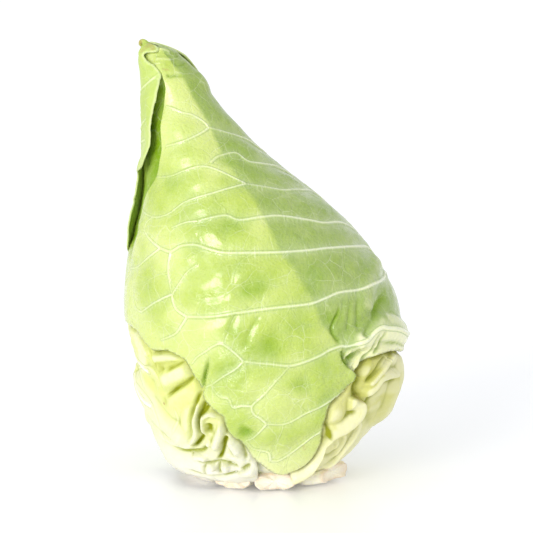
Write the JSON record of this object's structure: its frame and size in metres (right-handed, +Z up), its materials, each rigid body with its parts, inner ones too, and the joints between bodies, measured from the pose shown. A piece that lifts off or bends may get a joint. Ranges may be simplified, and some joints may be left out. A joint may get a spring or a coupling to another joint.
{
  "type": "pointed cabbage",
  "caption": "Whole pointed cabbage head with wrapper leaves, crumpled lower leaves and a cut stem, standing on its base.",
  "frame": {"origin": "centre of the stem's cut face, on the plane that the head stands on", "axes": "+Z up from the cut stem, -Y to the side that the front wrapper leaf covers, -X to the side that the tip leans to"},
  "size_m": [0.1381, 0.1268, 0.2203],
  "materials": {
    "stem": "moist cut stalk, fibrous, browned at the rim",
    "heart": "pale inner leaves, waxy",
    "front_wrapper": "waxy green leaf with raised pale veins",
    "left_wrapper": "waxy bright green leaf with a rolled edge",
    "lower_left": "crumpled cream white leaf with a thick midrib",
    "lower_right": "crumpled pale leaf with a rolled yellow-green margin",
    "back": "pale green leaf with raised veins",
    "inner": "crumpled cream leaf",
    "stub": "white leaf base, cut and slightly browned at its end"
  },
  "bodies": {
    "root": {"stem": "stem", "heart": "heart", "front_wrapper_leaf": "front_wrapper", "left_wrapper_leaf": "left_wrapper", "lower_left_leaf": "lower_left", "lower_right_leaf": "lower_right", "back_leaf": "back", "front_inner_leaf": "inner", "leaf_stub_front": "stub", "leaf_stub_back_right": "stub", "leaf_stub_left": "stub", "leaf_stub_right": "stub", "leaf_stub_back": "stub", "leaf_stub_front_left": "stub"}
  },
  "joints": []
}
